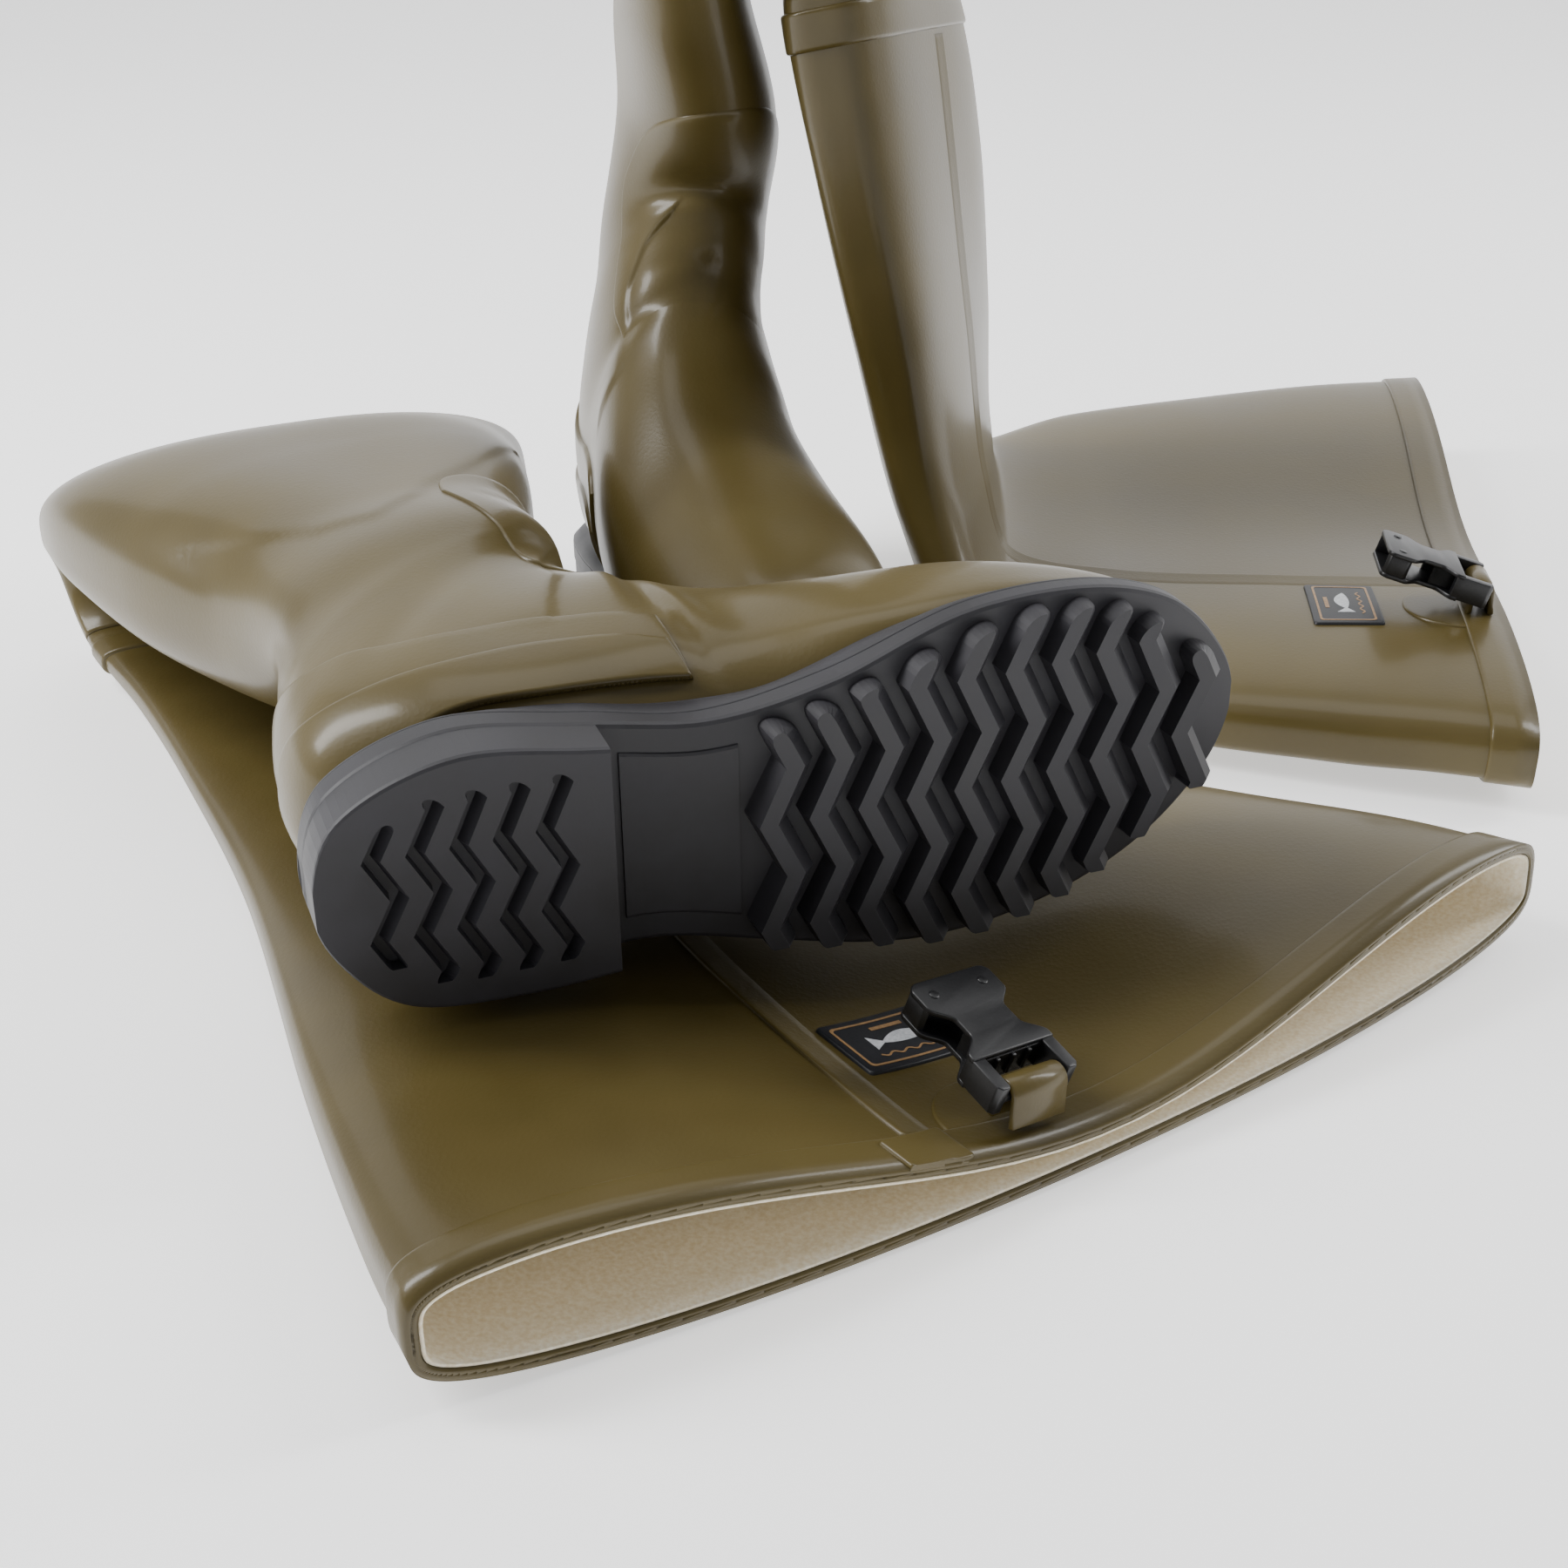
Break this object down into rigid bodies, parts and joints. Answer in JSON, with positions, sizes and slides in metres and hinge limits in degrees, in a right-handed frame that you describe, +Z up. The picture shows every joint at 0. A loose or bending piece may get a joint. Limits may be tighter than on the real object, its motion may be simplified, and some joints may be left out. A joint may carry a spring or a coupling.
{
  "type": "chest waders",
  "caption": "Pair of olive rubber fishing waders: cleated boots with long soft leg tubes, cotton lining, bound tops and a buckle on a rubber loop.",
  "frame": {"origin": "middle of the pair's footprint, on the ground", "axes": "+Z up; +X across the pair, towards the standing wader's top edge; +Y from the folded wader towards the standing one"},
  "size_m": [0.6436, 0.7368, 0.3511],
  "materials": {
    "olive_rubber": "smooth semi-gloss natural rubber, olive khaki",
    "sole_rubber": "matt black moulded rubber",
    "cotton_lining": "unbleached cotton jersey",
    "footbed_board": "pressed fibre board",
    "badge_vinyl": "black moulded soft vinyl",
    "buckle_acetal": "black acetal, satin"
  },
  "bodies": {
    "waders": {"left_outsole": "sole_rubber", "left_welt_strip": "sole_rubber", "left_foot_upper": "olive_rubber", "left_shaft": "olive_rubber", "left_thigh_tube": "olive_rubber", "left_foot_lining": "cotton_lining", "left_leg_lining": "cotton_lining", "left_footbed": "footbed_board", "left_heel_counter": "olive_rubber", "left_shin_guard": "olive_rubber", "left_knee_band": "olive_rubber", "left_leg_seam": "olive_rubber", "left_top_band": "olive_rubber", "left_badge": "badge_vinyl", "left_buckle_patch": "olive_rubber", "left_strap_loop": "olive_rubber", "right_outsole": "sole_rubber", "right_welt_strip": "sole_rubber", "right_foot_upper": "olive_rubber", "right_shaft": "olive_rubber", "right_thigh_tube": "olive_rubber", "right_foot_lining": "cotton_lining", "right_leg_lining": "cotton_lining", "right_footbed": "footbed_board", "right_heel_counter": "olive_rubber", "right_shin_guard": "olive_rubber", "right_knee_band": "olive_rubber", "right_leg_seam": "olive_rubber", "right_top_band": "olive_rubber", "right_badge": "badge_vinyl", "right_buckle_patch": "olive_rubber", "right_strap_loop": "olive_rubber"},
    "left_buckle_body": {"left_buckle": "buckle_acetal"},
    "right_buckle_body": {"right_buckle": "buckle_acetal"}
  },
  "joints": [
    {"name": "left_buckle_hinge", "type": "hinge", "parent": "waders", "child": "left_buckle_body", "pos_m": [0.05532, -0.26828, 0.02962], "axis": [0.7813, 0.6117, -0.1238], "range_deg": [-8, 120]},
    {"name": "right_buckle_hinge", "type": "hinge", "parent": "waders", "child": "right_buckle_body", "pos_m": [0.26763, 0.05169, 0.05201], "axis": [0.1335, 0.9903, -0.038], "range_deg": [-8, 120]}
  ]
}
